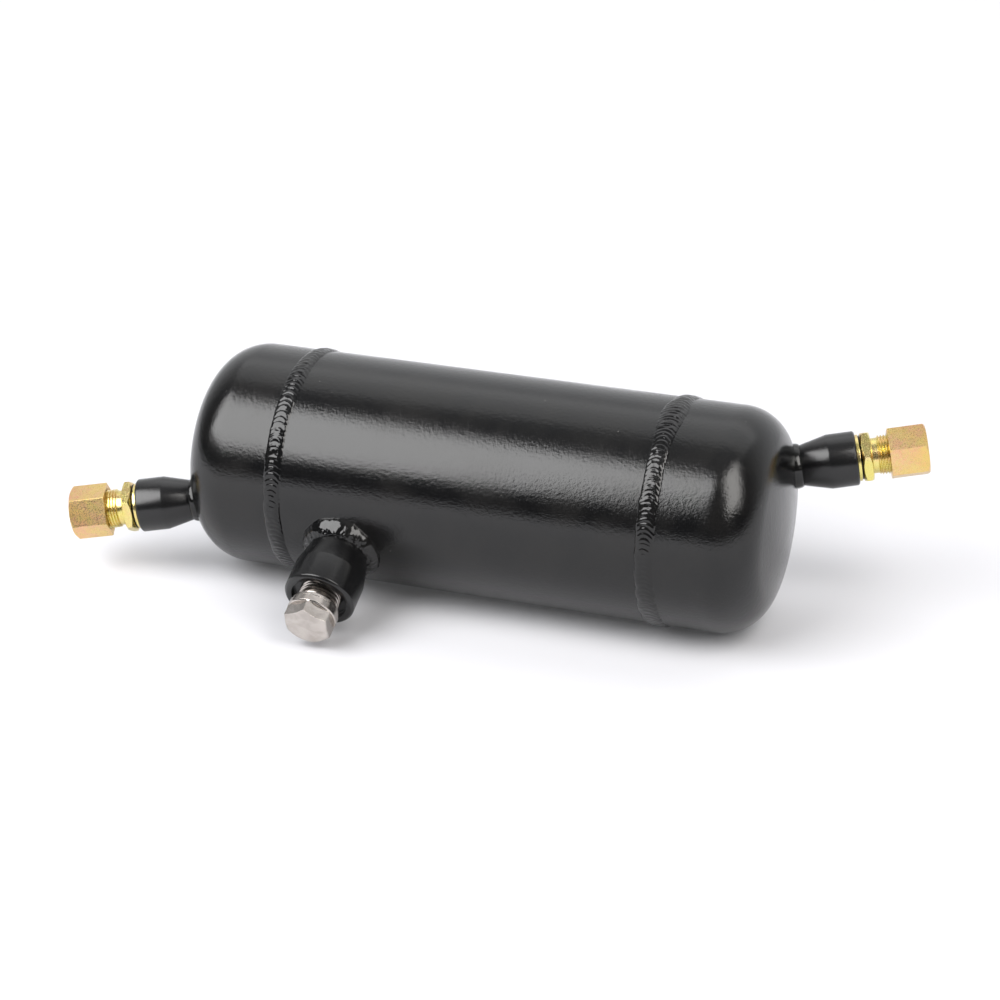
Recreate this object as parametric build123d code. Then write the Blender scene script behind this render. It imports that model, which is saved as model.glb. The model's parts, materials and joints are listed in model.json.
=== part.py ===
from build123d import *
from math import atan2, cos, pi, radians, sin, sqrt, tan
import os

# A welded steel fluid reservoir lying on its side: a tube shell closed by two dished heads, a tapered
# port boss on each head that carries a compression union, and a drain boss with a loosened plug.
# Millimetres. +X runs along the shell from the left head to the right one, +Z is up.
# The shell rests on its two girth welds, and the origin is under the middle of
# the whole assembly, on the surface that it rests on.

# ---- shell and heads ----
shell_outer_d = 114.3
shell_wall = 4.5
weld_span = 194.8          # between the centre lines of the two girth welds
root_gap = 2.0             # gap between a shell end and the edge of a head
head_wall = 4.5
head_straight = 28.5       # from the weld's centre line to where the knuckle starts
knuckle_r = 25.0
crown_r = 200.0

# ---- girth welds and the rings behind them ----
girth_bead_width = 10.8
girth_bead_height = 1.3
backing_ring_width = 22.0
backing_ring_wall = 2.5
backing_ring_fit = 0.05    # radial clearance in the shell and the head

# ---- port bosses on the heads ----
port_clock = 27.5          # the plane of both ports about the shell's axis, up towards the right port
port_offset = {"left": 36.1, "right": 38.8}   # from the shell's axis to where a port meets its head
port_tilt = {"left": 18.2, "right": 19.8}     # a port's axis against the shell's axis
boss_standoff = 2.1        # from the head to the small end of the taper
boss_small_d = 20.4
boss_big_d = 27.4
boss_taper_length = 13.9
boss_barrel_length = 13.9
boss_spigot_d = 16.0
boss_spigot_reach = 3.2    # past the inner wall of the head
spigot_clearance = 0.05    # radial, in the holes of the heads and the shell
boss_edge = 0.8
boss_tap_depth = 14.0
boss_bore_d = 9.0
boss_weld_leg = 3.6
boss_weld_rise = 3.2
boss_weld_cap = 0.9        # radial thickness of the fillet where it ends on the boss

# ---- compression unions ----
stud_d = 18.0              # M18 x 1.5 stud that screws into the boss
stud_length = 12.0
stud_chamfer = 1.6
thread_relief = 1.0        # plain stretch at each end of the stud's thread
union_hex_af = 24.0
union_hex_length = 5.0
union_collar_d = 22.0
union_collar_length = 0.9
union_neck_d = 17.8
union_neck_length = 3.0
union_thread_d = 20.0      # M20 x 1.5 thread for the nut
union_thread_length = 14.1
metric_pitch = 1.5
cone_half_angle = 12.0
tube_d = 12.0
cone_mouth_step = 1.5      # radial, from the tube to the edge of the cone
union_chamfer = 1.4
union_thread_runout = 0.6
tube_clearance = 0.05      # radial, around the tube in its socket
socket_length = 7.2
union_bore_d = 8.0
union_hex_turn = {"left": 32.6, "right": 37.7}

# ---- bonded seal under each union ----
seal_thickness = 1.5
seal_lip_clearance = 0.15
seal_lip_width = 1.05
seal_washer_width = 1.5

# ---- union nut and cutting ring ----
nut_wall = 2.0             # from the thread to the middle of a flat
nut_length = 19.1
nut_thread_depth = 13.0
nut_gap = 8.8              # open length between the union's hexagon and the loosened nut
nut_chamfer = 30.0
nut_lead_in = 0.8
nut_turn = {"left": 49.8, "right": 30.4}
tube_hole_clearance = 0.2  # radial, around the tube in the nut's end
ring_wall = 1.8
ring_edge = 0.35           # wall at the cutting edge
ring_back_wall = 0.4
ring_seat_gap = 0.1
ring_cone_gap = 0.08
nut_turns_in = 7.0 / 3.0   # from the loosened nut to the seated cutting ring
nut_turns_out = 5.5        # from the loosened nut to the end of the thread

# ---- drain boss ----
drain_x = -62.3            # from the middle of the shell
drain_droop = 24.0         # below the horizontal
drain_boss_d = 36.4
drain_neck_d = 31.0
drain_standout = 33.6      # from the shell to the outer face
drain_barrel_length = 16.1
drain_taper_length = 13.1
drain_spigot_reach = 2.5   # past the inner wall of the shell
drain_edge = 1.2
drain_recess_d = 28.6
drain_recess_depth = 3.5
drain_tap_depth = 15.0
drain_bore_d = 16.0
drain_weld_leg = 5.5
drain_weld_rise = 5.0
drain_weld_cap = 1.6       # radial thickness of the fillet where it ends on the boss
drain_weld_edge = 0.3      # height of the weld's toe over the shell

# ---- drain plug ----
plug_thread_d = 20.955     # G1/2 pipe thread
plug_pitch = 1.814
plug_thread_length = 14.8
plug_tip_chamfer = 2.0
plug_neck_d = 18.9
plug_neck_length = 2.2
plug_collar_d = 25.6
plug_collar_length = 4.3
plug_collar_edge = 0.5
plug_hex_af = 22.0
plug_hex_length = 7.3
plug_hex_turn = 27.9
plug_standout = 6.3        # from the boss face to the collar of the loosened plug
plug_seal_d = 24.6
plug_seal_thickness = 1.5
plug_seal_clearance = 0.15
plug_seal_face_gap = 0.02      # under the collar while the plug is loose
plug_turns_in = 4.5        # from the loosened plug to the collar seated on its seal
plug_turns_out = 3.0       # from the loosened plug to the end of the thread

# ---- threads and hexagons ----
thread_depth_share = 0.6   # of the pitch
thread_flat_share = 0.2    # half the crest, as a share of the pitch
hex_face_share = 0.48      # radius of a turned hexagon's end face, as a share of its width
thread_clearance = 0.1     # radial, crest of a stud to the wall of its tapped hole

shell_r = shell_outer_d / 2
shell_bore_r = shell_r - shell_wall
weld_x = weld_span / 2
bead_r = shell_r + girth_bead_height


# ---- helpers ----
def turned(points):
    """A solid turned about Z from an outline of (radius, height) points."""
    outline = Polyline(*[(r, 0, z) for r, z in points], close=True)
    return revolve(make_face(outline), Axis.Z, 360)


def thread_outline(major_r, pitch, start, end):
    """Crests and roots of a thread, as (radius, height) points going up."""
    depth = thread_depth_share * pitch
    crest = thread_flat_share * pitch
    count = int((end - start) / pitch)
    first = start + ((end - start) - count * pitch) / 2
    points = [(major_r - depth, start)]
    for turn in range(count):
        low = first + turn * pitch
        points += [(major_r, low + 0.5 * pitch - crest), (major_r, low + 0.5 * pitch + crest)]
        if turn < count - 1:
            points.append((major_r - depth, low + pitch))
    points.append((major_r - depth, end))
    return points


def hexagon(across_flats, bottom, top, turn, chamfer, both_ends=True):
    """A hexagon prism whose corners are turned down at its ends."""
    corner_r = across_flats / sqrt(3)
    face_r = hex_face_share * across_flats
    drop = (corner_r - face_r) * tan(radians(chamfer))
    foot = [(face_r, bottom), (corner_r, bottom + drop)] if both_ends else [(corner_r, bottom)]
    turned_blank = turned([(0, bottom)] + foot + [(corner_r, top - drop), (face_r, top), (0, top)])
    prism = Pos(0, 0, bottom) * extrude(RegularPolygon(corner_r, 6, rotation=turn), top - bottom)
    return prism & turned_blank


def bore(radius, bottom, top):
    """A round cutter along Z."""
    return Pos(0, 0, bottom) * Cylinder(radius, top - bottom, align=(Align.CENTER, Align.CENTER, Align.MIN))


def axis_frame(origin, direction):
    """Placement whose Z is the given direction and whose X is level."""
    level = Vector(0, 0, 1).cross(direction)
    return Plane(origin=origin, x_dir=level, z_dir=direction).location


# ---- shell and heads ----
crown_drop = sqrt((crown_r - knuckle_r) ** 2 - (shell_r - knuckle_r) ** 2)
knuckle_x = weld_x + head_straight
crown_centre_x = knuckle_x - crown_drop


def head_surface_x(offset):
    """Distance from the middle of the shell to the crown, at a given offset from the axis."""
    return crown_centre_x + sqrt(crown_r ** 2 - offset ** 2)


def head_half(inset):
    """Half outline of a dished head on the XY plane, inset from the outer surface."""
    join = atan2(shell_r - knuckle_r, crown_drop)
    knuckle = knuckle_r - inset
    crown = crown_r - inset
    middle = (pi / 2 + join) / 2
    edge_x = weld_x + root_gap / 2
    start = (knuckle_x, shell_r - inset)
    bend = (knuckle_x + knuckle * cos(middle), shell_r - knuckle_r + knuckle * sin(middle))
    meet = (crown_centre_x + crown * cos(join), crown * sin(join))
    crest = (crown_centre_x + crown * cos(join / 2), crown * sin(join / 2))
    tip = (crown_centre_x + crown, 0)
    lines = [
        Line((edge_x, 0), (edge_x, shell_r - inset)),
        Line((edge_x, shell_r - inset), start),
        ThreePointArc(start, bend, meet),
        ThreePointArc(meet, crest, tip),
        Line(tip, (edge_x, 0)),
    ]
    return revolve(make_face(Curve() + lines), Axis.X, 360)


def head_shell():
    return head_half(0) - head_half(head_wall)


def tube_x(outer_r, inner_r, start, end):
    """A tube along X."""
    along_x = Plane(origin=(start, 0, 0), z_dir=(1, 0, 0)).location
    return along_x * (bore(outer_r, 0, end - start) - bore(inner_r, -1, end - start + 1))


def mirrored(solid):
    return solid.mirror(Plane.YZ)


def girth_bead():
    """Weld bead: a low crown over the seam and a root that fills the gap."""
    half = girth_bead_width / 2
    crown = ThreePointArc((weld_x - half, shell_r), (weld_x, bead_r), (weld_x + half, shell_r))
    cap = revolve(make_face(Curve() + [crown, Line(crown @ 1, crown @ 0)]), Axis.X, 360)
    root = tube_x(shell_r, shell_bore_r, weld_x - root_gap / 2, weld_x + root_gap / 2)
    return cap - tube_x(shell_r, 0.1, weld_x - half - 1, weld_x + half + 1) + root


def backing_ring():
    outer = shell_bore_r - backing_ring_fit
    half = backing_ring_width / 2
    return tube_x(outer, outer - backing_ring_wall, weld_x - half, weld_x + half)


# ---- port boss ----
boss_face = boss_standoff + boss_taper_length + boss_barrel_length


def port_axis(side):
    """Where a port's axis meets its head, and the way it points."""
    sign = 1 if side == "right" else -1
    swing = radians(port_clock)
    tilt = radians(port_tilt[side])
    offset = port_offset[side]
    origin = Vector(head_surface_x(offset), offset * cos(swing), offset * sin(swing))
    direction = Vector(cos(tilt), sin(tilt) * cos(swing), sin(tilt) * sin(swing))
    return origin * sign, direction * sign


def port_frame(side):
    return axis_frame(*port_axis(side))


def port_boss():
    """Tapered boss, its spigot through the head and a tapped hole for the union's stud."""
    small = boss_small_d / 2
    big = boss_big_d / 2
    shoulder = boss_standoff + boss_taper_length
    spigot_end = -head_wall - boss_spigot_reach
    body = turned([
        (0, spigot_end), (boss_spigot_d / 2, spigot_end), (boss_spigot_d / 2, boss_standoff),
        (small, boss_standoff), (big, shoulder), (big, boss_face - boss_edge),
        (big - boss_edge, boss_face), (0, boss_face),
    ])
    tapped = bore(stud_d / 2 + thread_clearance, boss_face - boss_tap_depth, boss_face + 1)
    return body - tapped - bore(boss_bore_d / 2, spigot_end - 1, boss_face)


def port_boss_weld():
    """Fillet weld between the head and the boss, before the head and the boss are cut away."""
    inner = boss_spigot_d / 2 - 1
    outer = boss_small_d / 2 + boss_weld_leg
    top = boss_standoff + boss_weld_rise
    return turned([
        (inner, -head_wall), (outer, -head_wall), (outer, 0),
        (outer - 0.75 * boss_weld_leg, boss_standoff), (boss_small_d / 2 + boss_weld_cap, top), (inner, top),
    ])


# ---- union parts, with Z = 0 on the outer face of the boss ----
hex_start = seal_thickness + union_collar_length
hex_end = hex_start + union_hex_length
hex_middle = hex_start + union_hex_length / 2
thread_start = hex_end + union_neck_length
union_end = thread_start + union_thread_length
socket_r = tube_d / 2 + tube_clearance
cone_mouth_r = tube_d / 2 + cone_mouth_step
cone_slope = tan(radians(cone_half_angle))
cone_length = (cone_mouth_r - socket_r) / cone_slope
socket_top = union_end - cone_length
nut_start = hex_end + nut_gap
nut_end = nut_start + nut_length
seat_start = nut_start + nut_thread_depth
nut_bore_r = union_thread_d / 2 + thread_clearance
nut_af = union_thread_d + 2 * nut_wall
nut_hole_r = tube_d / 2 + tube_hole_clearance
ring_outer_r = tube_d / 2 + ring_wall
ring_travel = nut_turns_in * metric_pitch
seal_lip_r = stud_d / 2 + seal_lip_clearance + seal_lip_width
seal_washer_r = seal_lip_r + seal_washer_width


def union_body(side):
    """Stud, collar, hexagon, neck and nut thread in one turned piece, bored for the tube."""
    thread_end = union_end - union_thread_runout
    stud = thread_outline(stud_d / 2, metric_pitch, -stud_length + thread_relief, -thread_relief)
    thread = thread_outline(union_thread_d / 2, metric_pitch, thread_start, thread_end)
    neck = union_neck_d / 2
    collar = union_collar_d / 2
    spindle = turned(
        [(0, -stud_length), (stud_d / 2 - stud_chamfer, -stud_length)] + stud
        + [(stud[-1][0], seal_thickness), (collar, seal_thickness), (collar, hex_middle)]
        + [(neck, hex_middle), (neck, thread_start)] + thread
        + [(union_thread_d / 2 - union_chamfer, union_end), (0, union_end)]
    )
    grip = hexagon(union_hex_af, hex_start, hex_end, union_hex_turn[side], nut_chamfer)
    mouth = turned([
        (0, socket_top), (socket_r, socket_top), (cone_mouth_r, union_end),
        (cone_mouth_r, union_end + 1), (0, union_end + 1),
    ])
    socket = bore(socket_r, socket_top - socket_length, socket_top)
    return spindle + grip - mouth - socket - bore(union_bore_d / 2, -stud_length - 1, union_end)


def seal_washer():
    """Steel ring of the bonded seal."""
    return bore(seal_washer_r, 0, seal_thickness) - bore(seal_lip_r, -1, seal_thickness + 1)


def seal_lip():
    """Rubber lip bonded inside the steel ring."""
    inner = stud_d / 2 + seal_lip_clearance
    return bore(seal_lip_r, 0, seal_thickness) - bore(inner, -1, seal_thickness + 1)


def cutting_ring():
    """Cutting ring, where the loosened nut carries it."""
    inner = tube_d / 2 + tube_clearance * 2
    outer = ring_outer_r
    mouth_r = cone_mouth_r - ring_cone_gap
    mouth_z = union_end + ring_travel
    front_r = inner + ring_edge
    front = mouth_z - (mouth_r - front_r) / cone_slope
    shoulder = mouth_z + (outer - mouth_r) / cone_slope
    back = seat_start + nut_bore_r - outer - ring_seat_gap
    bevel = outer - inner - ring_back_wall
    return turned([
        (inner, front), (front_r, front), (outer, shoulder), (outer, back),
        (outer - bevel, back + bevel), (inner, back + bevel),
    ])


def union_nut(side):
    """Union nut: hexagon, thread bore, conical seat and the hole for the tube."""
    blank = hexagon(nut_af, nut_start, nut_end, nut_turn[side], nut_chamfer, both_ends=False)
    seat_end = seat_start + nut_bore_r - nut_hole_r
    lead = nut_lead_in
    hollow = turned([
        (0, nut_start - 1), (nut_bore_r + lead + 1, nut_start - 1), (nut_bore_r, nut_start + lead),
        (nut_bore_r, seat_start), (nut_hole_r, seat_end), (nut_hole_r, nut_end - lead / 2),
        (nut_hole_r + lead, nut_end + lead / 2), (0, nut_end + lead / 2),
    ])
    return blank - hollow


# ---- drain parts, with Z = 0 on the shell's axis ----
droop = radians(drain_droop)
drain_direction = Vector(0, -cos(droop), -sin(droop))
drain_frame = axis_frame(Vector(drain_x, 0, 0), drain_direction)
drain_face = shell_r + drain_standout
drain_shoulder = drain_face - drain_barrel_length
drain_neck_top = drain_shoulder - drain_taper_length
drain_foot = sqrt(shell_bore_r ** 2 - (drain_neck_d / 2) ** 2) - drain_spigot_reach
recess_floor = drain_face - drain_recess_depth
plug_tap_r = plug_thread_d / 2 + thread_clearance


def drain_boss():
    big = drain_boss_d / 2
    neck = drain_neck_d / 2
    body = turned([
        (0, drain_foot), (neck, drain_foot), (neck, drain_neck_top), (big, drain_shoulder),
        (big, drain_face - drain_edge), (big - drain_edge, drain_face), (0, drain_face),
    ])
    recess = bore(drain_recess_d / 2, recess_floor, drain_face + 1)
    tapped = bore(plug_tap_r, recess_floor - drain_tap_depth, drain_face)
    return body - recess - tapped - bore(drain_bore_d / 2, drain_foot - 1, drain_face)


def drain_boss_weld():
    """Fillet weld of the drain boss, before the shell and the boss are cut away."""
    neck = drain_neck_d / 2
    toe = neck + drain_weld_leg
    knee = neck + 0.6 * drain_weld_leg
    top = shell_r + drain_weld_rise
    return turned([
        (neck, shell_bore_r), (toe, shell_bore_r - shell_wall), (toe, shell_r + drain_weld_edge),
        (knee, shell_r + 0.45 * drain_weld_rise), (neck + drain_weld_cap, top - drain_weld_cap / 2),
        (neck, top),
    ])


collar_bottom = drain_face + plug_standout
collar_top = collar_bottom + plug_collar_length
plug_end = collar_top + plug_hex_length


def drain_plug():
    """Plug: pipe thread, undercut, collar and hexagon head."""
    tip = collar_bottom - plug_thread_length
    collar = plug_collar_d / 2
    neck_start = collar_bottom - plug_neck_length
    thread = thread_outline(plug_thread_d / 2, plug_pitch, tip + thread_relief, neck_start)
    spindle = turned(
        [(0, tip), (plug_thread_d / 2 - plug_tip_chamfer, tip)] + thread
        + [(plug_neck_d / 2, neck_start), (plug_neck_d / 2, collar_bottom)]
        + [(collar - plug_collar_edge, collar_bottom), (collar, collar_bottom + plug_collar_edge)]
        + [(collar, collar_top - plug_collar_edge), (collar - plug_collar_edge, collar_top), (0, collar_top)]
    )
    grip = hexagon(plug_hex_af, collar_top, plug_end, plug_hex_turn, nut_chamfer, both_ends=False)
    return spindle + grip


def plug_seal():
    """Sealing ring under the collar."""
    inner = plug_neck_d / 2 + plug_seal_clearance
    top = collar_bottom - plug_seal_face_gap
    bottom = top - plug_seal_thickness
    return bore(plug_seal_d / 2, bottom, top) - bore(inner, bottom - 1, top + 1)


# ---- assembly about the middle of the shell ----
nodes = {}

drain_body = drain_frame * drain_boss()
drain_hole = drain_frame * bore(drain_neck_d / 2 + spigot_clearance, 0, drain_face)
tube_end = weld_x - root_gap / 2
nodes["shell_tube"] = tube_x(shell_r, shell_bore_r, -tube_end, tube_end) - drain_hole

for side in ("left", "right"):
    head = head_shell()
    blank = head_half(0)
    bead = girth_bead()
    ring = backing_ring()
    if side == "left":
        head, blank, bead, ring = (mirrored(piece) for piece in (head, blank, bead, ring))
    frame = port_frame(side)
    boss = frame * port_boss()
    hole = frame * bore(boss_spigot_d / 2 + spigot_clearance, -3 * head_wall, 3 * head_wall)
    on_face = frame * Pos(0, 0, boss_face)
    nodes[f"{side}_head"] = head - hole
    nodes[f"{side}_girth_weld"] = bead
    nodes[f"{side}_backing_ring"] = ring
    nodes[f"{side}_port_boss"] = boss
    nodes[f"{side}_port_boss_weld"] = frame * port_boss_weld() - blank - boss
    nodes[f"{side}_union_body"] = on_face * union_body(side)
    nodes[f"{side}_seal_washer"] = on_face * seal_washer()
    nodes[f"{side}_seal_lip"] = on_face * seal_lip()
    nodes[f"{side}_cutting_ring"] = on_face * cutting_ring()
    nodes[f"{side}_union_nut"] = on_face * union_nut(side)

shell_blank = tube_x(shell_r, 0.1, -tube_end, tube_end)
nodes["drain_boss"] = drain_body
nodes["drain_boss_weld"] = drain_frame * drain_boss_weld() - shell_blank - drain_body
nodes["drain_plug"] = drain_frame * drain_plug()
nodes["plug_seal"] = drain_frame * plug_seal()

# ---- set down: the origin goes under the middle of the whole assembly ----
box = Compound(children=[Compound(label=name, children=piece.solids()) for name, piece in nodes.items()])
extent = box.bounding_box()
set_down = Vector(-extent.center().X, -extent.center().Y, bead_r)

os.makedirs("parts", exist_ok=True)
for name, piece in nodes.items():
    export_step(Pos(set_down) * piece, f"parts/{name}.step")
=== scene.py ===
import json
from math import atan2, ceil, cos, exp, floor, pi, radians, remainder, sin, sqrt

import bmesh
import bpy
from mathutils import Matrix, Vector, noise
from mathutils.bvhtree import BVHTree


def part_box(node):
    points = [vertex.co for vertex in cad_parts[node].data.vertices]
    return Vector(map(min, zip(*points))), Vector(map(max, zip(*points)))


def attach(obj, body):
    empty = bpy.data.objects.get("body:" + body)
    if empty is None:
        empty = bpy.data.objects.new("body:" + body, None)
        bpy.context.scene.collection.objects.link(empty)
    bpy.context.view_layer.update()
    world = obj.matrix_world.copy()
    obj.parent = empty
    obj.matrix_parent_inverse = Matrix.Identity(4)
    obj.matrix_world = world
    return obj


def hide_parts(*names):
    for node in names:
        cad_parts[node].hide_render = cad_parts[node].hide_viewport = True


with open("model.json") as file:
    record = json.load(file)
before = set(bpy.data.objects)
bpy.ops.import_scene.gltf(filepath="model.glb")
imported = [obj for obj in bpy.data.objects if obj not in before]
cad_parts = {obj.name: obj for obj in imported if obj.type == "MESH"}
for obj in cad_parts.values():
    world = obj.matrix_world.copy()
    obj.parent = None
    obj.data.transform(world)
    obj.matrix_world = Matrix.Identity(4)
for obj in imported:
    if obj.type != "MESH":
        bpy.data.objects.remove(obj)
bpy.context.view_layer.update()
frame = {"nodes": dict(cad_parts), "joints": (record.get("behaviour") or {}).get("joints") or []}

mm = 0.001
nodes = frame["nodes"]
joints = {joint["name"]: joint for joint in frame["joints"]}

# where the shell lies, from its own box
shellLow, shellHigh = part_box("shell_tube")
shellMiddle = (shellLow + shellHigh) / 2
shellRadius = (shellHigh.z - shellLow.z) / 2
shellHalfLength = (shellHigh.x - shellLow.x) / 2


# ---- small helpers ----
def alongShell():
    # local Z runs along the shell, local X points up
    turned = Matrix(((0, 0, 1), (0, -1, 0), (1, 0, 0))).to_4x4()
    return Matrix.Translation(shellMiddle) @ turned


def onJoint(name):
    # local Z runs outwards along a screw's axis, with its foot at the joint's own point
    outward = Vector(joints[name]["axis"]).normalized()
    turned = outward.to_track_quat("Z", "Y").to_matrix().to_4x4()
    return Matrix.Translation(Vector(joints[name]["pos_m"])) @ turned


def reachAlong(node, place):
    # lowest and highest point of a CAD node along a placement's Z
    inverse = place.inverted()
    heights = [(inverse @ vertex.co).z for vertex in nodes[node].data.vertices]
    return min(heights), max(heights)


def piece(name, mesh, material, body, replaced, place=None, sharpAngle=35, weighted=False):
    # turns a bmesh into a finished object that rides on a body
    if place is not None:
        bmesh.ops.transform(mesh, matrix=place, verts=mesh.verts)
    for face in mesh.faces:
        face.smooth = True
    for edge in mesh.edges:
        edge.smooth = not edge.is_manifold or edge.calc_face_angle(0) < radians(sharpAngle)
    data = bpy.data.meshes.new(name)
    mesh.to_mesh(data)
    mesh.free()
    data.materials.append(material)
    made = bpy.data.objects.new(name, data)
    bpy.context.scene.collection.objects.link(made)
    if weighted:
        normals = made.modifiers.new("Flat faces", "WEIGHTED_NORMAL")
        normals.keep_sharp = True
    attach(made, body)
    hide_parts(*replaced)
    return made


def radiusOf(vertex):
    return sqrt(vertex.co.x ** 2 + vertex.co.y ** 2)


def widen(vertex, scale):
    # moves a vertex away from Z or towards it
    vertex.co.x *= scale
    vertex.co.y *= scale


def outlineWire(mesh, points, closed=True):
    # a chain of edges through points of (radius, height), in the plane of X and Z
    spots = [mesh.verts.new((radius, 0, height)) for radius, height in points]
    for pair in zip(spots, spots[1:]):
        mesh.edges.new(pair)
    if closed:
        mesh.edges.new((spots[-1], spots[0]))
    return spots


def spinRound(mesh, steps, mergeWithin=1e-7):
    # turns everything in the mesh once round Z
    bmesh.ops.spin(mesh, geom=mesh.verts[:] + mesh.edges[:], cent=(0, 0, 0), axis=(0, 0, 1),
                   angle=2 * pi, steps=steps, use_merge=True)
    bmesh.ops.remove_doubles(mesh, verts=mesh.verts, dist=mergeWithin)


def turnedBody(points, steps, edgeRounding=0.0):
    # a closed outline of (radius, height) turned about Z, its corners rounded first
    mesh = bmesh.new()
    spots = outlineWire(mesh, points)
    if edgeRounding:
        bmesh.ops.bevel(mesh, geom=spots, offset=edgeRounding, segments=3, profile=0.5,
                        affect="VERTICES", material=-1)
    spinRound(mesh, steps)
    bmesh.ops.recalc_face_normals(mesh, faces=mesh.faces)
    return mesh


# ---- shader groups ----
def newGroup(name, inputs, outputs):
    # an empty group with its sockets, and its entry and leave nodes
    tree = bpy.data.node_groups.new(name, "ShaderNodeTree")
    for label, kind, value in inputs:
        socket = tree.interface.new_socket(label, in_out="INPUT", socket_type=kind)
        if value is not None:
            socket.default_value = value
    for label, kind in outputs:
        tree.interface.new_socket(label, in_out="OUTPUT", socket_type=kind)
    return tree, tree.nodes.new("NodeGroupInput"), tree.nodes.new("NodeGroupOutput")


def addNode(tree, kind, **settings):
    # a setting is a socket's value where the node has such a socket, or else a property
    made = tree.nodes.new(kind)
    for key, value in settings.items():
        if key in made.inputs:
            made.inputs[key].default_value = value
        else:
            setattr(made, key, value)
    return made


def ramp(tree, source, low, high):
    # 0 below low, 1 above high, smooth in between
    made = addNode(tree, "ShaderNodeMapRange", interpolation_type="SMOOTHSTEP")
    made.inputs["From Min"].default_value = low
    made.inputs["From Max"].default_value = high
    tree.links.new(source, made.inputs["Value"])
    return made.outputs["Result"]


def maths(tree, operation, first, second):
    # each operand is a number or an output socket
    made = addNode(tree, "ShaderNodeMath", operation=operation)
    for socket, value in zip(made.inputs, (first, second)):
        if isinstance(value, (int, float)):
            socket.default_value = value
        else:
            tree.links.new(value, socket)
    return made.outputs[0]


def buildPeelGroup():
    # orange peel of a thick paint coat: coarse waves with a finer grain on top
    tree, entry, leave = newGroup(
        "orangePeel",
        [("Vector", "NodeSocketVector", None), ("Wave Scale", "NodeSocketFloat", 420.0),
         ("Grain Scale", "NodeSocketFloat", 1500.0), ("Grain Share", "NodeSocketFloat", 0.35)],
        [("Height", "NodeSocketFloat")])
    waves = addNode(tree, "ShaderNodeTexNoise", Detail=1.5)
    grain = addNode(tree, "ShaderNodeTexNoise", Detail=2.0)
    for made, label in ((waves, "Wave Scale"), (grain, "Grain Scale")):
        tree.links.new(entry.outputs["Vector"], made.inputs["Vector"])
        tree.links.new(entry.outputs[label], made.inputs["Scale"])
    share = maths(tree, "MULTIPLY", grain.outputs["Fac"], entry.outputs["Grain Share"])
    tree.links.new(maths(tree, "ADD", waves.outputs["Fac"], share), leave.inputs["Height"])
    return tree


def buildDustGroup():
    # sparse specks of dust and nibs caught in the paint
    emptyCells = 0.8   # share of the cells that hold no speck
    tree, entry, leave = newGroup(
        "dustSpecks",
        [("Vector", "NodeSocketVector", None), ("Scale", "NodeSocketFloat", 150.0),
         ("Size", "NodeSocketFloat", 0.045)],
        [("Mask", "NodeSocketFloat")])
    cells = addNode(tree, "ShaderNodeTexVoronoi", feature="F1", Randomness=1.0)
    tree.links.new(entry.outputs["Vector"], cells.inputs["Vector"])
    tree.links.new(entry.outputs["Scale"], cells.inputs["Scale"])
    near = maths(tree, "LESS_THAN", cells.outputs["Distance"], entry.outputs["Size"])
    chosen = addNode(tree, "ShaderNodeSeparateColor")
    tree.links.new(cells.outputs["Color"], chosen.inputs["Color"])
    kept = maths(tree, "GREATER_THAN", chosen.outputs[0], emptyCells)
    tree.links.new(maths(tree, "MULTIPLY", near, kept), leave.inputs["Mask"])
    return tree


def buildMottleGroup():
    # cloudy patches over a fine grain, as on passivated plating
    faint, full = 0.32, 0.68
    tree, entry, leave = newGroup(
        "mottle",
        [("Vector", "NodeSocketVector", None), ("Cloud Scale", "NodeSocketFloat", 160.0),
         ("Grain Scale", "NodeSocketFloat", 1800.0)],
        [("Cloud", "NodeSocketFloat"), ("Grain", "NodeSocketFloat")])
    cloud = addNode(tree, "ShaderNodeTexNoise", Detail=3.0, Distortion=0.6)
    grain = addNode(tree, "ShaderNodeTexNoise", Detail=2.0)
    for made, label, port in ((cloud, "Cloud Scale", "Cloud"), (grain, "Grain Scale", "Grain")):
        tree.links.new(entry.outputs["Vector"], made.inputs["Vector"])
        tree.links.new(entry.outputs[label], made.inputs["Scale"])
        tree.links.new(ramp(tree, made.outputs["Fac"], faint, full), leave.inputs[port])
    return tree


def buildTurningGroup():
    # fine tool marks in rings about local Z
    tree, entry, leave = newGroup(
        "turningMarks",
        [("Vector", "NodeSocketVector", None), ("Ring Scale", "NodeSocketFloat", 2600.0)],
        [("Height", "NodeSocketFloat")])
    split = addNode(tree, "ShaderNodeSeparateXYZ")
    tree.links.new(entry.outputs["Vector"], split.inputs["Vector"])
    squares = [maths(tree, "MULTIPLY", split.outputs[axis], split.outputs[axis]) for axis in (0, 1)]
    radius = maths(tree, "SQRT", maths(tree, "ADD", *squares), 0.0)
    both = addNode(tree, "ShaderNodeCombineXYZ")
    tree.links.new(radius, both.inputs["X"])
    tree.links.new(split.outputs[2], both.inputs["Z"])
    rings = addNode(tree, "ShaderNodeTexNoise", Detail=3.0)
    tree.links.new(both.outputs[0], rings.inputs["Vector"])
    tree.links.new(entry.outputs["Ring Scale"], rings.inputs["Scale"])
    tree.links.new(rings.outputs["Fac"], leave.inputs["Height"])
    return tree


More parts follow.
